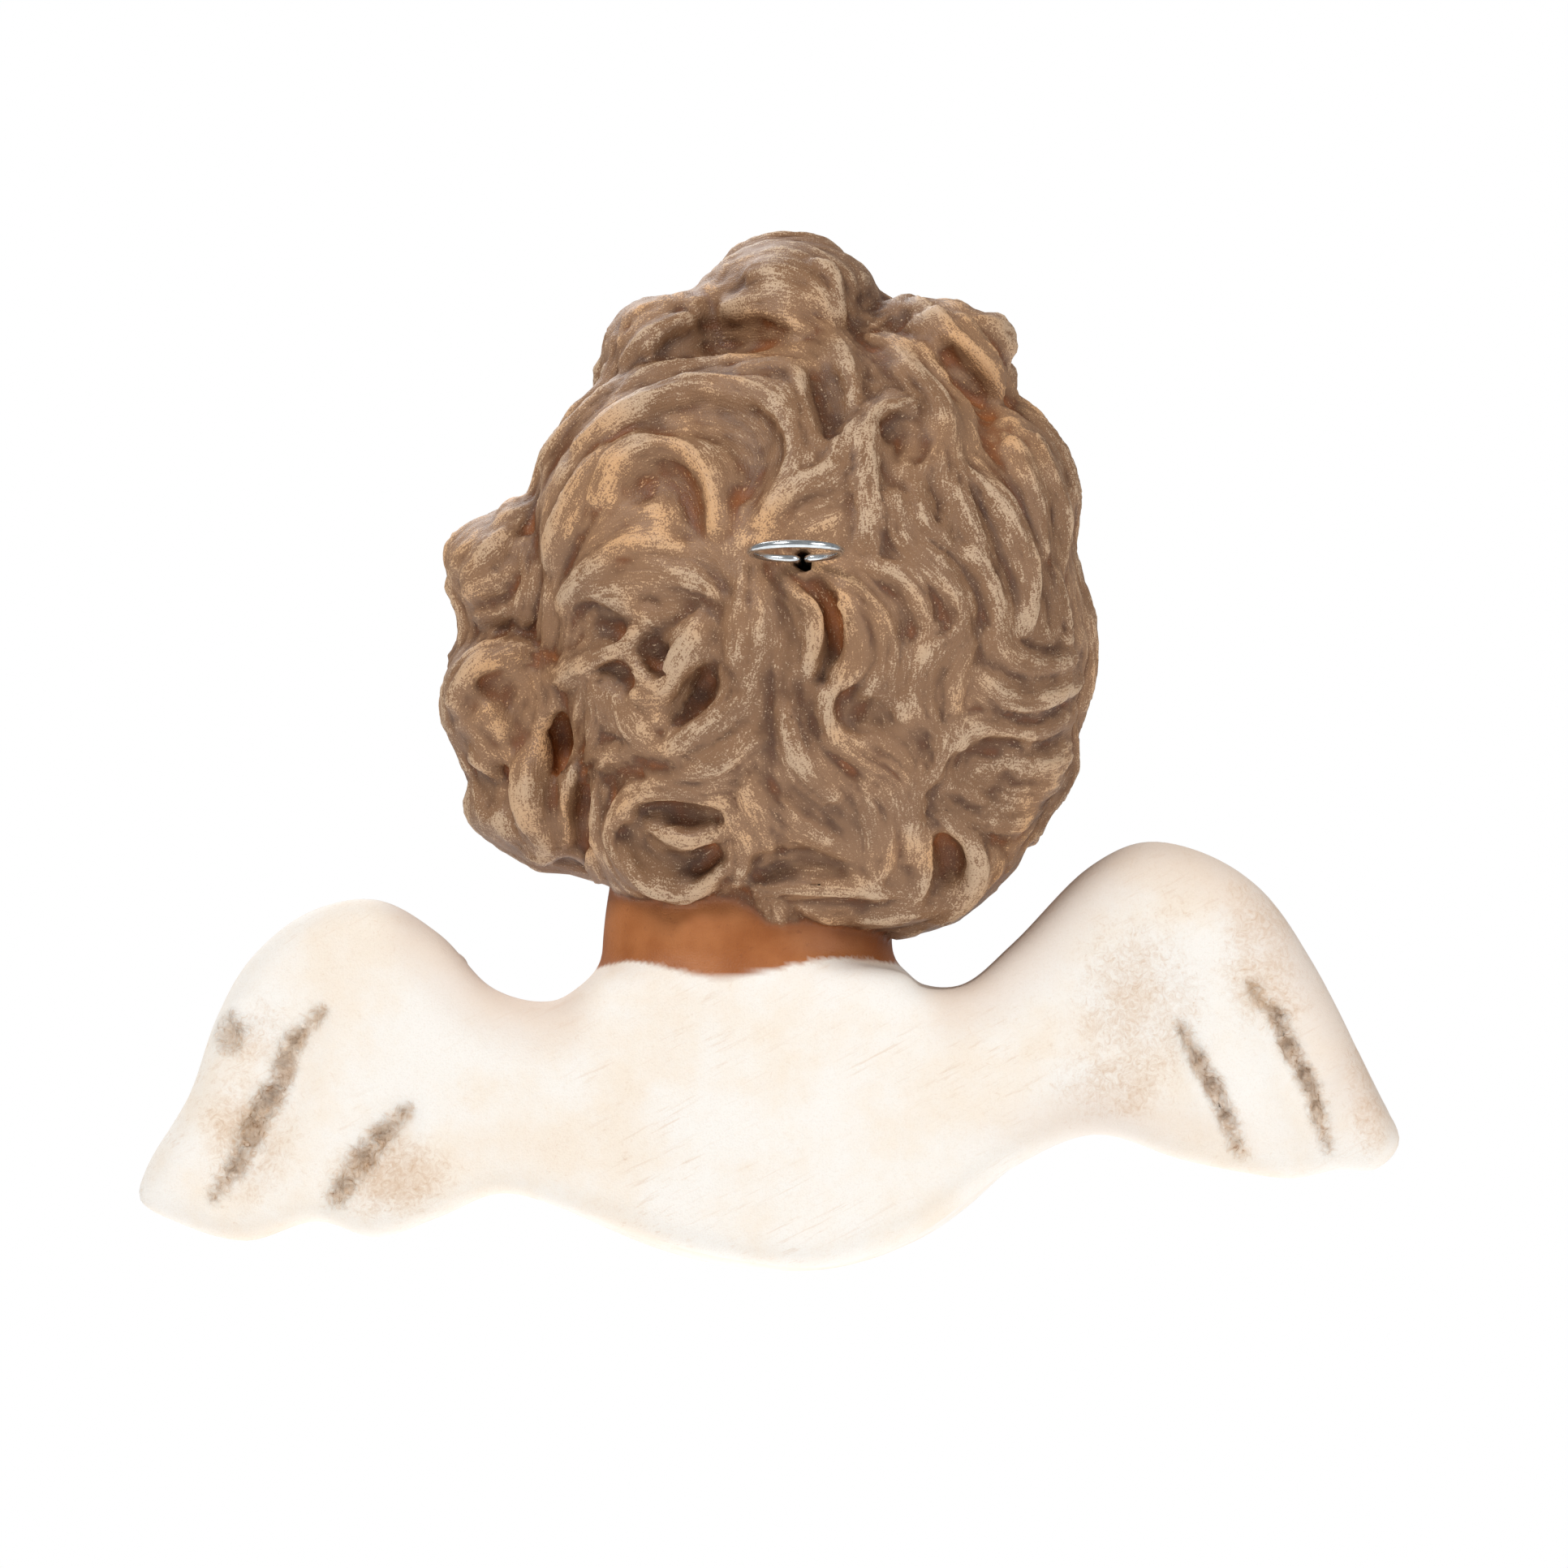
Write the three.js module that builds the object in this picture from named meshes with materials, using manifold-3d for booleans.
// Angel wall figure: a cherub's head on a pair of wings, cast in terracotta as one piece, with a ring of steel
// wire to hang it by. Millimetres, +Z up, +Y towards the wall, origin at the middle of the hanging ring.
import * as THREE from "three";
import { mergeVertices } from "three/addons/utils/BufferGeometryUtils.js";
import Module from "manifold-3d";

const wasm = await Module();
wasm.setup();

// Driving sizes.
const FIGURE_WIDTH = 280; // wing tip to wing tip
const RING_DIAMETER = 21.1; // outside
const WIRE = 1.7; // diameter of the ring's wire
const WIRE_BEND = 1.6; // radius that each wire end is bent to, at the middle of the wire
const LEG_GAP = 0.6; // between the two wire ends
const LEG_LENGTH = 8; // of each wire end that lies in the hole
const RING_TILT = 8.2; // degrees that the ring's free side stands up
const RING_TURN = 8; // degrees that its ends lie off the middle, towards the angel's right
const HOLE_SPARE = 3; // depth of the hole beyond the wire ends
const CLEARANCE = 0.35; // between the wire and the clay
const WING_HALF = 9.5; // half the thickness of a wing
const BODY_HALF = 20; // half the thickness between the wings

// The surface is read from a grid, and its flat areas are thinned out until this many triangles are left.
const CELL = 3.4;
const TRIANGLES = 8800;

// The clay is modelled at a width of 280, from the middle of the head, in millimetres of that size. Places
// are [right, back, up]: right is the angel's own right, which is the viewer's right from behind.
const UNIT = FIGURE_WIDTH / 280;

// Signed distances are below zero inside the clay.
const radians = THREE.MathUtils.degToRad;
const clamp = (t) => Math.min(1, Math.max(0, t));
const mix = (a, b, t) => a + (b - a) * t;

function blend(a, b, soft) {
  const h = clamp(0.5 + (0.5 * (b - a)) / soft);
  return mix(b, a, h) - soft * h * (1 - h);
}
const carve = (a, b, soft) => -blend(-a, b, soft);

function ellipsoid(p, c, r) {
  const u = (p[0] - c[0]) / r[0];
  const v = (p[1] - c[1]) / r[1];
  const w = (p[2] - c[2]) / r[2];
  const near = Math.sqrt(u * u + v * v + w * w);
  const slope = Math.sqrt((u / r[0]) ** 2 + (v / r[1]) ** 2 + (w / r[2]) ** 2);
  return (near * (near - 1)) / Math.max(slope, 1e-6);
}

function roundCone(p, a, b, ra, rb) {
  const [x, y, z] = [b[0] - a[0], b[1] - a[1], b[2] - a[2]];
  const [u, v, w] = [p[0] - a[0], p[1] - a[1], p[2] - a[2]];
  const t = clamp((x * u + y * v + z * w) / (x * x + y * y + z * z));
  return Math.hypot(u - x * t, v - y * t, w - z * t) - mix(ra, rb, t);
}

// A stroke is a row of balls along a smooth line. It is kept with a ball round them all, so that points which
// are too far off to feel it can pass it by.
const STROKE_STEP = 2.2;

function smoothLine(points) {
  const curve = new THREE.SplineCurve(points.map(([u, v]) => new THREE.Vector2(u, v)));
  return curve.getSpacedPoints(Math.max(3, Math.round(curve.getLength() / STROKE_STEP)));
}

function strokeOf(balls) {
  const around = new THREE.Box3().setFromPoints(balls.map(({ at }) => new THREE.Vector3(...at)))
    .getBoundingSphere(new THREE.Sphere());
  return {
    balls,
    centre: around.center.toArray(),
    reach: around.radius + Math.max(...balls.map(({ radius }) => radius)),
  };
}

function withStrokes(d, p, strokes, soft, join) {
  for (const { balls, centre, reach } of strokes) {
    const off = Math.hypot(p[0] - centre[0], p[1] - centre[1], p[2] - centre[2]) - reach;
    if (off > Math.abs(d) + soft) continue;
    let near = Infinity;
    for (const { at, radius } of balls) {
      near = Math.min(near, Math.hypot(p[0] - at[0], p[1] - at[1], p[2] - at[2]) - radius);
    }
    d = join(d, near, soft);
  }
  return d;
}

// Hair: the skull and the clumps of curls that give the head its outline. Centre, then radii across, deep and
// high.
const SKULL = [[1, 3, -3], [60.5, 53, 64.5]];
const CLUMPS = [
  [[-4, -16, 66], [18.5, 27, 15.5]],
  [[-31, -14, 55], [13, 25, 13]],
  [[-44, -8, 35], [12.5, 24, 13]],
  [[-28, 10, 20], [32, 36, 32]],
  [[-63, -10, 6], [15, 22, 14.5]],
  [[-64, -12, -20], [15.5, 24, 16]],
  [[-66, -2, -21], [12, 14, 12]],
  [[-60, -10, -40], [14, 20, 9.5]],
  [[-52, -2, -42], [14, 18, 14]],
  [[30, -12, 54], [13.5, 25, 14]],
  [[44, -2, 25], [15, 24, 15]],
  [[49, -6, -9], [13, 24, 15]],
  [[30, 2, -42], [19.5, 28, 20]],
  [[-30, 8, -48], [17, 24, 16.5]],
  [[0, 10, -52], [26, 26, 17]],
];
const CLUMP_SOFT = 9;

// Face: turned to the angel's left. Its own places are [left, front, up] from the same middle.
const FACE_TURN = radians(20);
const [FACE_COS, FACE_SIN] = [Math.cos(FACE_TURN), Math.sin(FACE_TURN)];
const toFace = ([right, back, up]) => [
  back * FACE_SIN - right * FACE_COS,
  -right * FACE_SIN - back * FACE_COS,
  up,
];
const fromFace = ([left, front, up]) => [
  -left * FACE_COS - front * FACE_SIN,
  left * FACE_SIN - front * FACE_COS,
  up,
];
const FACE_OPENING = [[0, 84, -22], [44, 46, 52]];
const FACE_FRONT = 70; // nothing of the face reaches further forward

function faceField(p) {
  const q = toFace(p);
  const side = [Math.abs(q[0]), q[1], q[2]];
  let d = ellipsoid(q, [0, 12, -2], [43, 44, 40]);
  if (d > FACE_FRONT) return d;
  d = blend(d, ellipsoid(q, [0, 14, -34], [40, 39, 33]), 10);
  d = blend(d, ellipsoid(side, [21, 35, -37], [19, 20, 19]), 9);
  d = blend(d, ellipsoid(q, [0, 46.5, -61], [12.5, 11.5, 10]), 8);
  d = blend(d, ellipsoid(q, [0, 50, -46.5], [15, 11, 11]), 6);
  d = blend(d, roundCone(side, [8, 53, -4], [30, 46, -5.5], 3.4, 2.6), 5);
  d = carve(d, ellipsoid(side, [19, 63, -15], [13, 11.5, 9.5]), 5);
  d = blend(d, ellipsoid(side, [18, 43.6, -15.5], [10, 10.2, 9]), 2);
  d = blend(d, roundCone(q, [0, 52, -9], [0, 61.5, -29.5], 4.6, 5.4), 4);
  d = blend(d, ellipsoid(side, [6, 57, -31.5], [4.4, 4.8, 4]), 3);
  d = blend(d, roundCone(side, [0, 59.6, -44.6], [9, 56, -46.4], 2.8, 2.2), 2);
  return blend(d, roundCone(side, [0, 58.8, -50.6], [7, 57, -49.6], 3.4, 2.8), 2);
}

// Curls stand round the face from jaw to jaw. Each is a snail: a low mound with a lock wound on it.
const CURLS = 11;
const CURL_SIZE = 12.5;
const CURL_REACH = 132; // degrees from the top of the face to the last curl
const curls = Array.from({ length: CURLS }, (_, i) => {
  const turn = radians(mix(-CURL_REACH, CURL_REACH, i / (CURLS - 1)));
  const size = CURL_SIZE * (1 + 0.09 * Math.sin(2.4 * i));
  const at = [50 * Math.sin(turn), 30 + 6 * Math.cos(turn), 45 * Math.cos(turn) - 12];
  return { at: fromFace(at), size, wind: i % 2 ? 1 : -1 };
});

function hairMass(p) {
  let d = ellipsoid(p, SKULL[0], SKULL[1]);
  for (const [at, radii] of CLUMPS) {
    const near = ellipsoid(p, at, radii);
    if (near < d + CLUMP_SOFT) d = blend(d, near, CLUMP_SOFT);
  }
  if (d > 40) return d;
  d = carve(d, ellipsoid(toFace(p), ...FACE_OPENING), 4);
  for (const { at, size } of curls) d = blend(d, ellipsoid(p, at, [size, size, size]), CLUMP_SOFT);
  return d;
}

// A lock is a stroke of the comb, drawn as it is seen from one side: half its width, its height, and the
// points it runs through, across and up. These follow the back of the head from the crown to the nape.
const LOCKS_BEHIND = [
  // Crown and great arches
  [4.6, 2.6, [-23, 76], [-15, 80.5], [-5, 81], [3, 76], [5.5, 68]],
  [4, 2.2, [-20, 73], [-11, 76.5], [-2, 75], [1, 69]],
  [4.4, 2.4, [0, 82], [6, 78.5], [11, 72], [15, 66.5]],
  [3.6, 1.8, [-18, 69.5], [-9, 71.5], [0, 70], [6, 66]],
  [4.6, 2.6, [-44.5, 56], [-42, 63], [-36, 68], [-26, 70.5]],
  [4.2, 2.4, [-40, 56], [-36, 61], [-29, 65], [-23, 66]],
  [5.4, 3.6, [-38, 55], [-27, 62], [-12, 65.5], [0, 63], [7, 55], [9, 46]],
  [4.2, 2.2, [-46, 47], [-38, 51.5], [-29, 54.5], [-19, 55.5]],
  [5.4, 3.8, [-50, 37], [-38, 44.5], [-25, 48.5], [-13, 46.5], [-5, 40], [-4, 32], [-8, 24]],
  [5.2, 3.8, [-46, 25], [-41, 33], [-33, 36.5], [-26, 33], [-22.5, 26], [-21, 19]],
  [4, 2.8, [-57, 11], [-54, 20], [-50, 28], [-45, 35]],
  [4.4, 2.8, [-60.5, 20], [-59, 30], [-53, 40], [-45, 48], [-38, 54]],
  [4.2, 2.8, [-14, 53.5], [-5, 53.5], [0, 47], [1.5, 40], [0, 33]],
  [3.4, 2, [-12, 50], [-6.5, 48], [-4, 43], [-3.5, 37]],
  [3.6, 2.4, [6.5, 44], [6.5, 37], [4, 30]],
  [5.4, 3, [10, 30], [2, 28], [-5, 25], [-10, 20]],
  [4.2, 3.4, [21, 45.5], [15, 43], [11.5, 36], [12, 28], [14, 21], [13.5, 15]],
  [5, 3, [18, 59], [23, 51.5], [28, 45], [29, 38], [25, 31.5]],
  [3.6, 2.2, [8, 63], [16, 60.5], [23, 57.5], [29, 53]],
  [4.8, 3.2, [27, 68], [32, 60.5], [38.5, 54], [44, 47], [46.5, 39]],
  [3.8, 2.2, [35, 68], [41, 61], [45.5, 54], [48, 46]],
  [3.4, 2, [14, 69], [21, 67], [26, 62]],
  // Right side of the head
  [4.4, 2.6, [50, 38], [53, 30], [55.5, 21], [56, 12]],
  [4, 2.4, [45, 37], [48, 29], [50.5, 22], [52, 14]],
  [4.6, 3.2, [34, 29.5], [41, 24], [46, 15], [48, 6], [47.5, 0]],
  [3.8, 2.4, [31, 33], [32.5, 26], [35, 19], [39, 12]],
  [3.4, 2.6, [23.5, 26], [25, 19], [28, 17], [29.5, 21]],
  [3.8, 2.2, [18, 24], [18.5, 17], [22, 12], [27, 10]],
  [3.6, 2, [15, 9.5], [20, 8], [24, 3.5], [26, -3]],
  [3.6, 2.2, [24, 12], [29, 7.5], [32.5, 1], [34, -5]],
  [3.6, 2, [35, 12], [39, 6], [41, 0], [41, -6]],
  [4.2, 2.2, [54, 8], [55, 1], [57, -5]],
  [3.8, 2.6, [39, -4], [43, -10.5], [50, -12], [58, -10]],
  [4.2, 2.8, [36, -14], [42, -19], [51, -19], [60.5, -13.5]],
  [4, 2.4, [39, -24], [47, -26], [55, -24], [60, -20]],
  [4, 2.6, [45, -33], [52, -33.5], [59, -30]],
  [4, 2.6, [30, -32], [33, -27.5], [38, -25.5], [44, -26]],
  [4.4, 2.4, [43, -39], [50, -39], [56, -36]],
  [4.2, 2.4, [38, -46], [45, -46], [51, -43]],
  [4.8, 3.4, [29, -44], [34, -49], [36, -56], [34, -62], [29, -67]],
  [3.4, 2.2, [24, -47], [25.5, -54], [25, -61]],
  [5, 2.8, [31, -5], [25, -11], [23.5, -18], [26, -24], [29.5, -28]],
  [4, 2.2, [34.5, -8], [31, -13], [30, -20]],
  // Middle and nape
  [8.5, 3.4, [-13, 5], [-13.5, -4], [-14.5, -12], [-15, -18]],
  [4.2, 2.6, [-5, 6], [-0.5, 2], [1.5, -5], [-1, -12]],
  [5.4, 3.6, [3.5, 4], [9, -1], [10, -9], [7, -16], [4.5, -22]],
  [5, 2.8, [10, 4], [15, -3], [16.5, -10], [12, -18]],
  [3.4, 2, [19.5, -8], [18.5, -15], [20, -22]],
  [3.8, 3, [4.5, -20], [6, -27], [12, -31], [18, -34.5], [21.5, -41], [22, -53]],
  [3.4, 2.4, [29, -26], [27.5, -33], [22, -39]],
  [4, 2.8, [12, -37], [15.5, -44], [16, -51], [14, -58]],
  [4.2, 2.6, [-5, -22], [-3, -30], [0, -35.5], [4, -40]],
  [4.6, 2.4, [-6, -42], [-2, -46], [3, -49]],
  [4, 2, [-13, -37], [-11, -44], [-9, -51]],
  [4.6, 3, [-11, -60.5], [-3, -59], [6, -59.5], [15, -62]],
  [4.4, 2.6, [-9, -63], [-6, -68], [1, -71], [11, -70.5]],
  [4, 2.2, [13, -67], [20, -66], [26, -66]],
  [4, 2.2, [-24, -66], [-17, -66.5], [-12, -70]],
  [4, 3, [-41, -55], [-42.5, -48], [-38, -42], [-30, -39.5], [-21, -41.5], [-14, -47.5]],
  [4.2, 3, [-41.5, -53], [-38, -58], [-31, -61], [-25, -60], [-20, -56]],
  [4.2, 2.4, [-49, -53], [-45, -61], [-38, -67], [-29, -70], [-22, -71]],
  [3.4, 2.4, [-16, -46], [-14, -52], [-16, -59]],
  [3.2, 2.4, [-32, -47.5], [-25, -49.5], [-17, -44.5]],
  [4, 2, [-34, -35], [-26, -37], [-19, -37.5]],
  [4.2, 2.6, [-29.5, -31], [-24, -24.5], [-16, -19.5]],
  [4.2, 2.6, [-28, -35], [-20, -33], [-12, -28]],
  // Left side and its two lobes
  [4.4, 3, [-54, 2], [-47, 9], [-39, 13.5], [-29, 14]],
  [4.4, 2.8, [-46, 8.5], [-36, 8.5], [-28, 7], [-21, 4]],
  [4, 2.6, [-57, 6], [-57, -1], [-57.5, -8], [-57, -14]],
  [3.4, 2.2, [-51, 2], [-52.5, -4], [-53.5, -9]],
  [3.8, 3, [-57, -15], [-50, -11.5], [-42, -8.5], [-36, -3.5]],
  [3.4, 2, [-47, 4.5], [-40, 3], [-34, -1.5]],
  [4, 3.2, [-23.5, -3], [-28, -10], [-31.5, -16], [-38, -18]],
  [3, 2.2, [-39, -12.5], [-36, -13], [-33.5, -15]],
  [4.4, 2.8, [-47, -15], [-45.5, -22], [-48, -29.5]],
  [4.2, 2.2, [-41, -21], [-38, -27], [-33, -31]],
  [4, 2.2, [-50, -35], [-45, -31.5], [-40, -31.5]],
  [4, 2.6, [-79, 19], [-71, 21.5], [-63, 27]],
  [3.8, 2.6, [-75, 10], [-69, 15], [-63, 20.5]],
  [3.8, 2.4, [-79, 4], [-73, 7.5], [-68, 9], [-64, 14]],
  [3.2, 2.6, [-62, 15], [-61.5, 8], [-63, 1], [-64, -5]],
  [4, 2.2, [-78, -2], [-73, 1], [-68, 1]],
  [5.4, 3.4, [-62, -9], [-71, -10.5], [-78, -17], [-80, -26]],
  [4.4, 2.8, [-60, -12], [-57.5, -18], [-59.5, -25]],
  [4.4, 2.4, [-77, -29], [-72, -32], [-69, -37]],
  [4.4, 2.6, [-75, -44], [-72, -48], [-67, -50]],
  [5.8, 3.4, [-60, -30], [-63, -38], [-62, -46], [-57, -53]],
  [2.6, 2, [-66.5, -40], [-66, -43], [-65, -46]],
  [4.4, 2.6, [-54, -33], [-53, -39], [-53, -45], [-54, -52]],
  [3.8, 2.2, [-47, -37], [-46, -43], [-47, -50]],
];

// Hollows are strokes that are cut in. The first is the shallow dish that the ring's hole stands in.
const HOLLOWS = [
  [9, 0.8, [-7, 10.5], [-1.6, 11], [4, 11.5]],
  [2.8, 3.4, [2.5, 4], [5, -2], [4.5, -9], [1, -14]],
  [3.4, 4.8, [-22.5, -14], [-25, -19], [-29, -23]],
  [2.4, 3.2, [-34.5, -8.5], [-33, -11], [-31, -13]],
  [3.6, 4.4, [-38.5, -49.5], [-35, -54.5], [-28, -56.5], [-22, -53.5]],
  [2.4, 2.4, [-36, -43.5], [-28, -45], [-20, -44.5]],
  [3.8, 4.6, [29.5, -51], [31, -56], [28.5, -61]],
  [4.5, 2.8, [2, 52], [4.5, 46], [4.5, 40]],
  [6.5, 3, [-32, 41], [-20, 42], [-14, 36], [-14, 27]],
  [5.5, 3, [-38, 27], [-32, 29], [-28, 25], [-27, 18]],
  [3.6, 2.6, [17, 40], [20.5, 39], [22, 35]],
  [3, 3.2, [-70, -16], [-66.5, -19], [-65.5, -24]],
  [5, 2.6, [33, -33], [39, -32], [44, -30]],
  [2.6, 3.2, [-67.5, -36], [-68, -41], [-67, -46]],
  [2.4, 2.8, [-55, -24], [-54.8, -28], [-54.5, -33]],
  [2.4, 2.4, [-50, -40], [-50, -46], [-50.5, -52]],
  [3.2, 2.6, [-10, -56.5], [-2, -55], [6, -56]],
  [3.6, 2.2, [8, -21], [11, -22.5], [14, -24]],
  [3.4, 2.6, [31, 57], [35.5, 51], [39, 45], [40, 37]],
  [3, 2.4, [-73, -39.5], [-71, -41.5], [-69, -43]],
  [4.5, 2, [-30, 58.5], [-14, 60], [-3, 57]],
];

// A view looks at the head from outside: which ways are across, up and out of the picture, and its middle.
const BEHIND = { across: [1, 0, 0], up: [0, 0, 1], out: [0, 1, 0], middle: [0, 0, 0] };
const FROM_RIGHT = { across: [0, -1, 0], up: [0, 0, 1], out: [1, 0, 0], middle: [0, 0, 0] };
const FROM_LEFT = { across: [0, 1, 0], up: [0, 0, 1], out: [-1, 0, 0], middle: [0, 0, 0] };
const FROM_ABOVE = { across: [1, 0, 0], up: [0, -1, 0], out: [0, 0, 1], middle: [0, 0, 0] };
const CAST_FROM = 110;

function onSurface(field, { across, up, out, middle }, u, v) {
  const p = middle.map((m, k) => m + across[k] * u + up[k] * v + out[k] * CAST_FROM);
  for (let gone = 0; gone < 1.3 * CAST_FROM; ) {
    const d = field(p);
    if (d < 0.02) return p;
    for (let k = 0; k < 3; k++) p[k] -= out[k] * Math.max(0.02, d * 0.8);
    gone += Math.max(0.02, d * 0.8);
  }
  return null; // the stroke has run off the edge of the head
}

function normalAt(field, p, reach = 0.5) {
  const slope = [0, 1, 2].map((k) => {
    const [a, b] = [[...p], [...p]];
    a[k] += reach;
    b[k] -= reach;
    return field(a) - field(b);
  });
  const size = Math.hypot(...slope) || 1;
  return slope.map((s) => s / size);
}

// Lays strokes on the hair, or cuts them into it: full in the middle and fine at the ends.
const LAID_ON = -1;
const CUT_IN = 1;

function comb(view, rows, way = LAID_ON) {
  const strokes = [];
  for (const [half, high, ...points] of rows) {
    const line = smoothLine(points);
    const balls = [];
    line.forEach(({ x, y }, i) => {
      const p = onSurface(hairMass, view, x, y);
      if (!p) return;
      const n = normalAt(hairMass, p);
      const full = 0.45 + 0.55 * Math.sin(Math.PI * mix(0.06, 0.97, i / (line.length - 1)) ** 0.8);
      const lift = way * (half - high) * full;
      balls.push({ at: p.map((c, k) => c + n[k] * lift), radius: half * full });
    });
    if (balls.length > 2) strokes.push(strokeOf(balls));
  }
  return strokes;
}

// Waves cover what the strokes behind don't: rows of locks that swing to one side and back.
const range = (first, last) => Array.from({ length: last - first + 1 }, (_, i) => first + i);

function waves(columns, rows, spacing, heading) {
  const locks = [];
  for (const i of columns) {
    for (const j of rows) {
      const swing = ((i + j) % 2 ? 1 : -1) * spacing;
      const turn = radians(heading + 16 * Math.sin(1.7 * i + 2.3 * j));
      const [sin, cos] = [Math.sin(turn), Math.cos(turn)];
      const at = [(i + 0.5 * (Math.abs(j) % 2)) * spacing, j * spacing];
      const length = spacing * (1.85 + 0.25 * Math.sin(2.9 * i + j));
      const point = (t, off) => [
        at[0] + length * t * sin + swing * off * cos,
        at[1] + length * t * cos - swing * off * sin,
      ];
      const half = 5 + 0.8 * Math.sin(i + 3 * j);
      locks.push([half, 3.2, point(0, 0), point(0.35, 0.3), point(0.7, -0.05), point(1, -0.25)]);
    }
  }
  return locks;
}

// A snail curl is wound in the view that looks straight at it.
function snail({ at, size, wind }) {
  const out = new THREE.Vector3(...at).sub(new THREE.Vector3(...fromFace([0, 4, -14]))).normalize();
  const across = new THREE.Vector3(0, 0, 1).cross(out).normalize();
  const up = out.clone().cross(across);
  const view = { out: out.toArray(), across: across.toArray(), up: up.toArray(), middle: at };
  const points = range(0, 13).map((i) => {
    const turn = wind * (radians(48 * i) - 0.5);
    const reach = size * (0.86 - 0.058 * i);
    return [-reach * Math.cos(turn), reach * Math.sin(turn)];
  });
  return comb(view, [[0.3 * size, 0.22 * size, ...points]]);
}

const locks = [
  ...comb(BEHIND, LOCKS_BEHIND),
  ...comb(FROM_RIGHT, waves(range(0, 2), range(-2, 4), 13.5, 165)),
  ...comb(FROM_LEFT, waves(range(-3, 0), range(-3, 4), 13.5, 195)),
  ...comb(FROM_ABOVE, waves(range(-3, 3), range(0, 3), 13, 10)),
  ...curls.flatMap(snail),
];
const hollows = comb(BEHIND, HOLLOWS, CUT_IN);
const LOCK_SOFT = 2;
const HOLLOW_SOFT = 3;

function hairField(p) {
  const d = hairMass(p);
  if (Math.abs(d) > 12) return d;
  return withStrokes(withStrokes(d, p, locks, LOCK_SOFT, blend), p, hollows, HOLLOW_SOFT, carve);
}

// Wings: one outline for both wings and the shoulders between them, as seen from behind.
const WING_OUTLINE = [
  [-45, -79], [-57, -85.7], [-70, -83], [-82, -71], [-96, -63.3], [-111, -66], [-124, -76.3], [-131.5, -89],
  [-138, -107], [-147.5, -123], [-149, -130], [-140, -135.3], [-125, -139], [-109, -134.5], [-96, -138],
  [-82, -133.4], [-68, -128], [-50, -132.7], [-21, -141.4], [4, -143.5], [24, -136.5], [45, -122], [63, -115],
  [82, -120.6], [96, -123.6], [107, -125], [117, -123.2], [126, -123], [131, -117], [126, -106], [112, -78],
  [100, -61], [87, -52.8], [74, -50.5], [62, -56], [45, -73], [34, -82], [25, -82.4], [20, -78], [-12, -74],
];
const OUTLINE_STEPS = 120;
const WING_TOP = Math.max(...WING_OUTLINE.map(([, v]) => v));
const BODY_REACH = 60; // how far from the middle the body thins down to the wings
const WING_BACK = 8; // how far behind the middle of the head the middle of the wings lies
const WING_SWEEP = 15; // how far the tips come forward
const EDGE_ROUND = 7.5;

const outline = new THREE.CatmullRomCurve3(
  WING_OUTLINE.map(([u, v]) => new THREE.Vector3(u, v, 0)), true, "centripetal",
).getPoints(OUTLINE_STEPS);

function fromOutline(u, v) {
  let near = Infinity;
  let inside = false;
  for (let i = 0; i < OUTLINE_STEPS; i++) {
    const [a, b] = [outline[i], outline[i + 1]];
    const [ex, ey, px, py] = [b.x - a.x, b.y - a.y, u - a.x, v - a.y];
    const t = clamp((px * ex + py * ey) / (ex * ex + ey * ey));
    near = Math.min(near, (px - ex * t) ** 2 + (py - ey * t) ** 2);
    if (a.y > v !== b.y > v && px < (ex * py) / ey) inside = !inside;
  }
  return inside ? -Math.sqrt(near) : Math.sqrt(near);
}

// The front and the back of the plate at some distance from the middle.
function wingLayers(u) {
  const half = mix(WING_HALF, BODY_HALF, Math.exp(-((u / BODY_REACH) ** 2)));
  const middle = WING_BACK - WING_SWEEP * (u / 130) ** 2;
  return [middle - half, middle + half];
}

// Behind, narrow grooves run down broad valleys between the long feathers.
const GROOVES = [
  [2.6, 3, [-107.7, -87.6], [-114.5, -95.5], [-117.4, -104], [-122, -111.3], [-126.7, -121.7], [-132, -129]],
  [2.6, 3, [-88.7, -109], [-95.7, -116.5], [-101, -123.5], [-107, -133]],
  [2.4, 2.6, [81.7, -90.9], [85.3, -98], [89, -104.3], [91.8, -110.8], [94.3, -117.2], [96.4, -121.3]],
  [2.4, 2.6, [97.5, -82.3], [103.2, -89], [109.7, -102.5], [115, -119]],
  [8, 1.6, [-110, -90], [-119, -106], [-130, -129]],
  [8.5, 1.8, [-90, -110], [-98, -119], [-106, -131]],
  [7, 0.9, [84, -94], [91, -108], [97, -122]],
  [7, 0.9, [99, -84], [107, -98], [115, -121]],
];
const GROOVE_SOFT = 2;

function cutGroove([half, deep, ...points]) {
  return strokeOf(smoothLine(points).map(({ x, y }, i, { length }) => {
    const full = Math.sin(Math.PI * mix(0.1, 0.92, i / (length - 1))) ** 0.5;
    return { at: [x, wingLayers(x)[1] + (half - deep) * full, y], radius: half * full };
  }));
}
const grooves = GROOVES.map(cutGroove);

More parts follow.
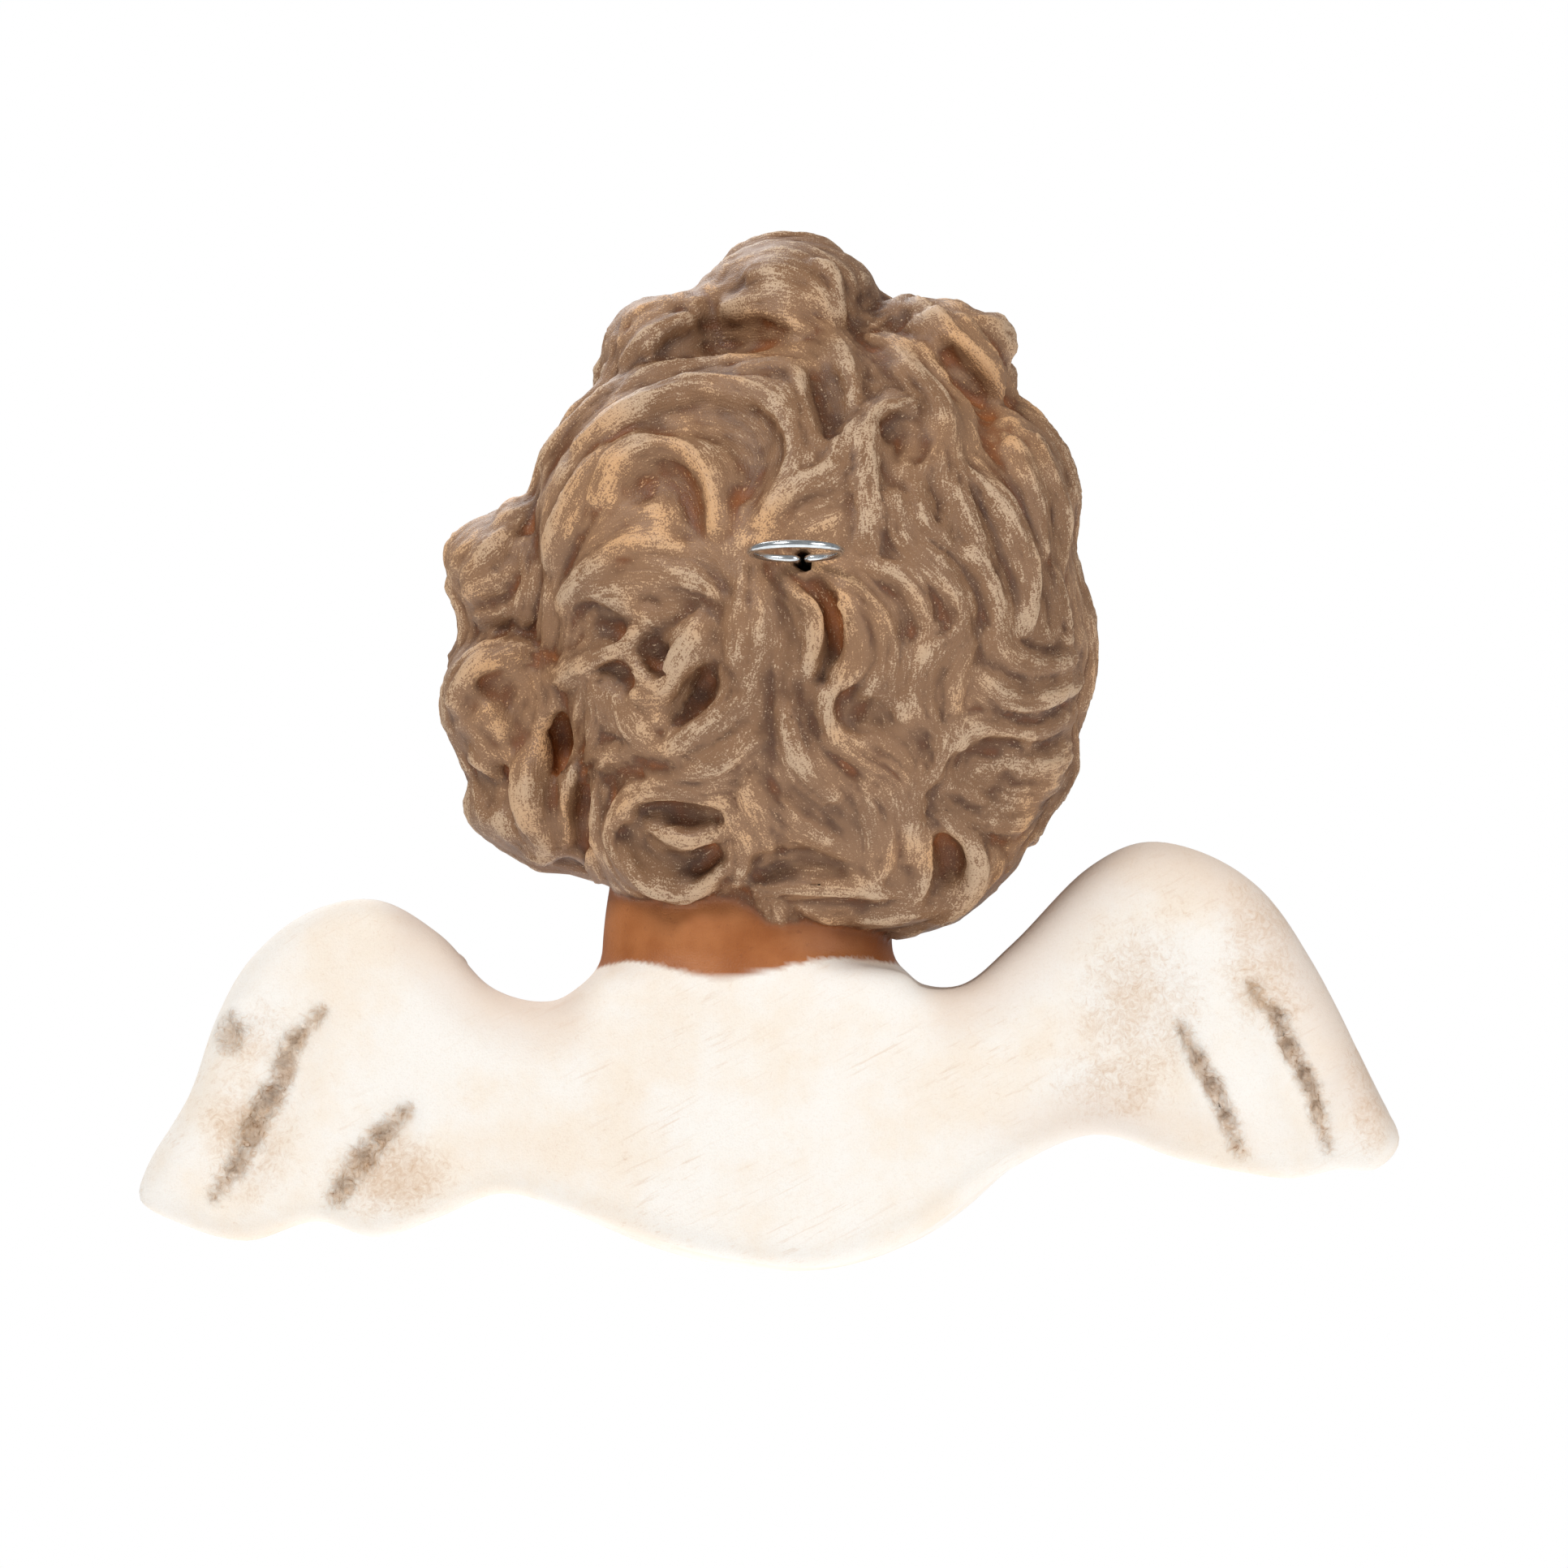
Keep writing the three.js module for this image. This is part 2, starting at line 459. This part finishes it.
// In front, rows of feathers lie over each other like shingles. A row gives how many there are, half their width
// and how far they stand up, then the root of the outermost and the innermost, and their tips.
const FEATHERS = [
  [5, 8.5, 2.8, [-121, -96], [-64, -101], [-139, -126], [-56, -120]],
  [5, 7, 4.2, [-115, -81], [-68, -91], [-127, -102], [-64, -109]],
  [4, 6, 5, [-109, -72], [-80, -79], [-117, -86], [-77, -92]],
  [5, 8, 2.8, [107, -86], [64, -91], [121, -113], [63, -106]],
  [5, 6.6, 4.2, [99, -72], [63, -78], [111, -94], [59, -97]],
  [4, 5.6, 5, [92, -63], [69, -67], [103, -78], [66, -81]],
];
const FEATHER_SOFT = 0.9;
const between = (a, b, t) => a.map((c, k) => mix(c, b[k], t));

function layFeathers([count, half, high, outerRoot, innerRoot, outerTip, innerTip]) {
  return range(0, count - 1).map((i) => {
    const root = between(outerRoot, innerRoot, i / (count - 1));
    const tip = between(outerTip, innerTip, i / (count - 1));
    return strokeOf(smoothLine([root, between(root, tip, 0.5), tip]).map(({ x, y }, k, { length }) => {
      const t = k / (length - 1);
      const radius = half * Math.min(1, 0.72 + 0.5 * t);
      return { at: [x, wingLayers(x)[0] + radius - high * mix(0.25, 1, t), y], radius };
    }));
  });
}
const feathers = FEATHERS.flatMap(layFeathers);

const NOTCH = [[-131, 9, -93], [6, 12, 7]]; // a pit in the edge of the wing on the angel's left, behind

function wingField(p) {
  const [u, y, z] = p;
  if (z > WING_TOP + 15) return z - WING_TOP;
  const [front, back] = wingLayers(u);
  const a = fromOutline(u, z) + EDGE_ROUND;
  const b = Math.abs(y - (front + back) / 2) - (back - front) / 2 + EDGE_ROUND;
  let d = Math.hypot(Math.max(a, 0), Math.max(b, 0)) - EDGE_ROUND + Math.min(Math.max(a, b), 0);
  if (Math.abs(d) > 12) return d;
  d = withStrokes(d, p, grooves, GROOVE_SOFT, carve);
  d = withStrokes(d, p, feathers, FEATHER_SOFT, blend);
  return carve(d, ellipsoid(p, ...NOTCH), 3);
}

const NECK = [[-13, -2, -80], [32, 28, 60]];
const CHEST = [[-8, -8, -112], [50, 30, 31]];

function figureField(p) {
  const head = blend(blend(faceField(p), ellipsoid(p, ...NECK), 5), hairField(p), 1.5);
  const body = blend(wingField(p), ellipsoid(p, ...CHEST), 10);
  return blend(head, body, 5);
}

// Reads the surface where the field is zero: one point in each grid cell that it crosses, joined across the
// grid edges that it crosses.
function readSurface(field, low, high, cell) {
  const n = low.map((l, k) => Math.ceil((high[k] - l) / cell) + 1);
  const stride = [1, n[0], n[0] * n[1]];
  const at = (i) => [i % n[0], Math.floor(i / n[0]) % n[1], Math.floor(i / stride[2])];
  const values = sample(field, low, cell, n);
  fillTouching(values, n, stride);

  const corners = Array.from({ length: 8 }, (_, k) => [k & 1, (k >> 1) & 1, k >> 2]);
  const points = [];
  const pointOf = new Int32Array(values.length).fill(-1);
  for (let i = 0; i < values.length; i++) {
    const where = at(i);
    if (where.some((w, k) => w >= n[k] - 1)) continue;
    const v = corners.map(([a, b, c]) => values[i + a + b * stride[1] + c * stride[2]]);
    const full = v.filter((value) => value < 0).length;
    if (full === 0 || full === 8) continue;
    const crossings = [];
    corners.forEach((corner, k) => {
      for (let axis = 0; axis < 3; axis++) {
        const m = k | (1 << axis);
        if (m === k || v[k] < 0 === v[m] < 0) continue;
        crossings.push(corner.map((c, j) => c + (j === axis ? v[k] / (v[k] - v[m]) : 0)));
      }
    });
    pointOf[i] = points.length;
    points.push(where.map((w, k) => {
      const mean = crossings.reduce((sum, c) => sum + c[k], 0) / crossings.length;
      return low[k] + (w + mean) * cell;
    }));
  }

  const triangles = [];
  for (let i = 0; i < values.length; i++) {
    const where = at(i);
    for (let axis = 0; axis < 3; axis++) {
      const [p, q] = [(axis + 1) % 3, (axis + 2) % 3];
      if (where[axis] >= n[axis] - 1 || where[p] < 1 || where[q] < 1) continue;
      const full = values[i] < 0;
      if (full === values[i + stride[axis]] < 0) continue;
      const four = [i - stride[p] - stride[q], i - stride[q], i, i - stride[p]].map((k) => pointOf[k]);
      if (!full) four.reverse();
      triangles.push([four[0], four[1], four[2]], [four[0], four[2], four[3]]);
    }
  }
  return { points, triangles: outerSkin(points, triangles) };
}

// Bubbles that the blended forms leave inside the clay have skins of their own, which are dropped.
function outerSkin(points, triangles) {
  const around = points.map(() => []);
  for (const t of triangles) for (const v of t) around[v].push(t);
  const reached = new Set(around[points.length - 1]);
  for (const t of reached) for (const v of t) for (const next of around[v]) reached.add(next);
  return triangles.filter((t) => reached.has(t));
}

// The field is worked out only in the blocks of the grid that the surface can reach.
const BLOCK = 4;

function sample(field, low, cell, n) {
  const values = new Float32Array(n[0] * n[1] * n[2]);
  const reach = 1.6 * BLOCK * cell;
  const place = (a, b, c) => [low[0] + a * cell, low[1] + b * cell, low[2] + c * cell];
  for (let c = 0; c < n[2]; c += BLOCK) {
    for (let b = 0; b < n[1]; b += BLOCK) {
      for (let a = 0; a < n[0]; a += BLOCK) {
        const middle = field(place(a + BLOCK / 2, b + BLOCK / 2, c + BLOCK / 2));
        for (let w = c; w < Math.min(c + BLOCK, n[2]); w++) {
          for (let v = b; v < Math.min(b + BLOCK, n[1]); v++) {
            for (let u = a; u < Math.min(a + BLOCK, n[0]); u++) {
              const value = Math.abs(middle) > reach ? middle : field(place(u, v, w));
              values[u + n[0] * (v + n[1] * w)] = value;
            }
          }
        }
      }
    }
  }
  return values;
}

// Fills a corner wherever full corners meet only across a diagonal, until none do, so that the skin never
// touches itself.
function fillTouching(values, n, stride) {
  const filled = -0.01;
  const cube = range(0, 7).map((k) => (k & 1) + ((k >> 1) & 1) * stride[1] + (k >> 2) * stride[2]);
  for (let changed = true; changed; ) {
    changed = false;
    for (let w = 0; w < n[2] - 1; w++) {
      for (let v = 0; v < n[1] - 1; v++) {
        for (let u = 0; u < n[0] - 1; u++) {
          const i = u + v * stride[1] + w * stride[2];
          const full = cube.map((step) => values[i + step] < 0);
          const count = full.filter(Boolean).length;
          if (count < 2 || count > 6) continue;
          for (const [a, b, c, d] of [[0, 1, 3, 2], [0, 1, 5, 4], [0, 2, 6, 4]]) {
            if (full[a] !== full[c] || full[b] !== full[d] || full[a] === full[b]) continue;
            values[i + cube[full[a] ? b : a]] = filled;
            changed = true;
          }
          for (let k = 0; k < 4; k++) {
            if (full[k] !== full[7 - k] || count !== (full[k] ? 2 : 6)) continue;
            values[i + cube[full[k] ? k ^ 1 : k]] = filled;
            changed = true;
          }
        }
      }
    }
  }
}

// Moves each point on to the surface, by no more than part of a cell at a time.
function settle(points, field, most) {
  for (const p of points) {
    for (let pass = 0; pass < 2; pass++) {
      const n = normalAt(field, p);
      const step = Math.max(-most, Math.min(most, field(p)));
      for (let k = 0; k < 3; k++) p[k] -= n[k] * step;
    }
  }
}

function faceNormal(points, [a, b, c]) {
  const [p, q, r] = [points[a], points[b], points[c]];
  const [x, y, z] = [q[0] - p[0], q[1] - p[1], q[2] - p[2]];
  const [u, v, w] = [r[0] - p[0], r[1] - p[1], r[2] - p[2]];
  return [y * w - z * v, z * u - x * w, x * v - y * u];
}

// Joins the two ends of an edge where that changes the surface least, some of them in each round.
function thinOut(points, triangles, wanted) {
  while (triangles.length > wanted) {
    const around = points.map(() => []);
    for (const t of triangles) for (const v of t) around[v].push(t);
    const normals = new Map(triangles.map((t) => [t, faceNormal(points, t)]));
    const changeAt = (t, m) => {
      const n = normals.get(t);
      const p = points[t[0]];
      const off = (m[0] - p[0]) * n[0] + (m[1] - p[1]) * n[1] + (m[2] - p[2]) * n[2];
      return (off * off) / (Math.hypot(...n) + 1e-9);
    };
    const edges = [];
    for (const t of triangles) {
      t.forEach((a, k) => {
        const b = t[(k + 1) % 3];
        if (a > b) return;
        const middle = points[a].map((c, j) => (c + points[b][j]) / 2);
        const length = Math.hypot(...points[a].map((c, j) => c - points[b][j]));
        const near = around[a].concat(around[b]);
        const cost = near.reduce((sum, f) => sum + changeAt(f, middle), 0.004 * length ** 3);
        edges.push({ a, b, middle, cost });
      });
    }
    edges.sort((one, other) => one.cost - other.cost);

    const goal = Math.max(wanted, Math.round(triangles.length * 0.88));
    const busy = new Set();
    const gone = new Set();
    for (const { a, b, middle } of edges) {
      if (triangles.length - gone.size <= goal) break;
      const near = [...new Set(around[a].concat(around[b]))];
      if (near.some((t) => t.some((v) => busy.has(v)))) continue;
      const neighbours = (v) => new Set(around[v].flat().filter((w) => w !== a && w !== b));
      const shared = [...neighbours(a)].filter((v) => neighbours(b).has(v));
      if (shared.length !== 2 || around[shared[0]].length < 4 || around[shared[1]].length < 4) continue;
      const old = [points[a], points[b]];
      [points[a], points[b]] = [middle, middle];
      const kept = near.filter((t) => !(t.includes(a) && t.includes(b)));
      const folds = kept.some((t) => {
        const [n, m] = [normals.get(t), faceNormal(points, t)];
        const along = n[0] * m[0] + n[1] * m[1] + n[2] * m[2];
        return along < 0.5 * Math.hypot(...n) * Math.hypot(...m);
      });
      if (folds) {
        [points[a], points[b]] = old;
        continue;
      }
      for (const t of near) {
        t.forEach((v) => busy.add(v));
        if (!kept.includes(t)) gone.add(t);
        else if (t.includes(b)) t[t.indexOf(b)] = a;
      }
    }
    if (gone.size === 0) break;
    triangles = triangles.filter((t) => !gone.has(t));
  }
  return triangles;
}

// The grid runs past the forms that reach furthest each way.
const GRID_SPARE = 10;
const MASS = [SKULL, ...CLUMPS];
const massEnd = (k) => Math.max(...MASS.map(([at, radii]) => at[k] + radii[k]));
const outlineU = WING_OUTLINE.map(([u]) => u);
const outlineV = WING_OUTLINE.map(([, v]) => v);
const LOW = [Math.min(...outlineU), -FACE_FRONT, Math.min(...outlineV)].map((c) => c - GRID_SPARE);
const HIGH = [Math.max(...outlineU), massEnd(1), massEnd(2)].map((c) => c + GRID_SPARE);

function figureSolid() {
  const { points, triangles } = readSurface(figureField, LOW, HIGH, CELL);
  settle(points, figureField, 0.25 * CELL);
  const thinned = thinOut(points, triangles, TRIANGLES);
  // Right becomes -X, which turns the skin inside out, so each triangle is wound the other way.
  return new wasm.Manifold(
    new wasm.Mesh({
      numProp: 3,
      vertProperties: Float32Array.from(
        points.flatMap(([right, back, up]) => [-right * UNIT, back * UNIT, up * UNIT]),
      ),
      triVerts: Uint32Array.from(thinned.flatMap(([a, b, c]) => [a, c, b])),
    }),
  );
}

function solidOf(geometry) {
  const bare = geometry.clone();
  for (const name of ["normal", "uv"]) bare.deleteAttribute(name);
  const { attributes, index } = mergeVertices(bare, 1e-4);
  const triVerts = Uint32Array.from(index.array);
  return new wasm.Manifold(new wasm.Mesh({ numProp: 3, vertProperties: attributes.position.array, triVerts }));
}

function geometryOf(solid) {
  const { numProp, numVert, vertProperties, triVerts } = solid.getMesh();
  const position = new Float32Array(numVert * 3);
  for (let i = 0; i < numVert; i++) {
    position.set(vertProperties.subarray(i * numProp, i * numProp + 3), i * 3);
  }
  const geometry = new THREE.BufferGeometry();
  geometry.setAttribute("position", new THREE.BufferAttribute(position, 3));
  geometry.setIndex(new THREE.BufferAttribute(triVerts, 1));
  geometry.computeVertexNormals();
  return geometry;
}

// Hanging ring: one wire, bent round to a ring whose two ends turn outwards side by side into the head. It is
// drawn flat, with its ends pointing along -Y, and the hanger below tilts and turns it together with its hole.
const RING_RADIUS = (RING_DIAMETER - WIRE) / 2;
const LEG_SIDE = (LEG_GAP + WIRE) / 2;
const BEND_SIDE = LEG_SIDE + WIRE_BEND;
const BEND_BACK = Math.sqrt((RING_RADIUS + WIRE_BEND) ** 2 - BEND_SIDE ** 2);
const MOUTH = BEND_BACK + CLEARANCE; // from the ring's middle to the mouth of its hole
const HOLE_DIAMETER = 2 * LEG_SIDE + WIRE + 2 * CLEARANCE;
const HOLE_DEPTH = LEG_LENGTH + HOLE_SPARE;
const RING_STEPS = 60;
const WIRE_SIDES = 8;
const HOLE_SIDES = 20;

const hanger = new THREE.Matrix4().makeRotationZ(-radians(RING_TURN))
  .premultiply(new THREE.Matrix4().makeRotationX(radians(RING_TILT)));

function ringGeometry() {
  const meet = Math.atan2(-BEND_BACK, BEND_SIDE); // where ring and bend touch, seen from the ring's middle
  const path = new THREE.Path();
  path.moveTo(LEG_SIDE, -MOUTH - LEG_LENGTH);
  path.lineTo(LEG_SIDE, -BEND_BACK);
  path.absarc(BEND_SIDE, -BEND_BACK, WIRE_BEND, Math.PI, Math.PI + meet, true);
  path.absarc(0, 0, RING_RADIUS, meet, Math.PI - meet, false);
  path.absarc(-BEND_SIDE, -BEND_BACK, WIRE_BEND, -meet, 0, true);
  path.lineTo(-LEG_SIDE, -MOUTH - LEG_LENGTH);
  const points = path.getSpacedPoints(2 * RING_STEPS).map((p) => new THREE.Vector3(p.x, p.y, 0));
  const section = new THREE.Shape();
  for (let i = 0; i < WIRE_SIDES; i++) {
    const turn = (2 * Math.PI * (i + 0.5)) / WIRE_SIDES;
    section[i ? "lineTo" : "moveTo"]((WIRE / 2) * Math.cos(turn), (WIRE / 2) * Math.sin(turn));
  }
  return new THREE.ExtrudeGeometry(section, {
    steps: RING_STEPS,
    extrudePath: new THREE.CatmullRomCurve3(points),
  });
}

// The drill starts in front of the mouth, so that it leaves a clean edge.
function holeGeometry() {
  const drill = HOLE_DEPTH + HOLE_DIAMETER;
  const hole = new THREE.CylinderGeometry(HOLE_DIAMETER / 2, HOLE_DIAMETER / 2, drill, HOLE_SIDES);
  return hole.translate(0, -MOUTH - HOLE_DEPTH + drill / 2, 0).applyMatrix4(hanger);
}

// The head is placed so that the mouth of the hole meets the surface of the hair.
const HOLE_PLACE = [-1.6, 11]; // right and up of the middle of the head
const mouth = new THREE.Vector3(0, -MOUTH, 0).applyMatrix4(hanger);
const [mouthRight, mouthBack, mouthUp] = onSurface(figureField, BEHIND, ...HOLE_PLACE).map((c) => c * UNIT);
const headMiddle = new THREE.Vector3(mouth.x + mouthRight, mouth.y - mouthBack, mouth.z - mouthUp);

const clay = figureSolid().translate(headMiddle.toArray()).subtract(solidOf(holeGeometry()));
const figure = new THREE.Mesh(
  geometryOf(clay),
  new THREE.MeshStandardMaterial({ color: 0x8a6a50, roughness: 0.8, metalness: 0 }),
);
figure.name = "figure";

const ring = new THREE.Mesh(
  ringGeometry().applyMatrix4(hanger),
  new THREE.MeshStandardMaterial({ color: 0xbbbcb5, roughness: 0.25, metalness: 1 }),
);
ring.name = "hanging_ring";

const root = new THREE.Group();
root.add(figure, ring);
export default root;
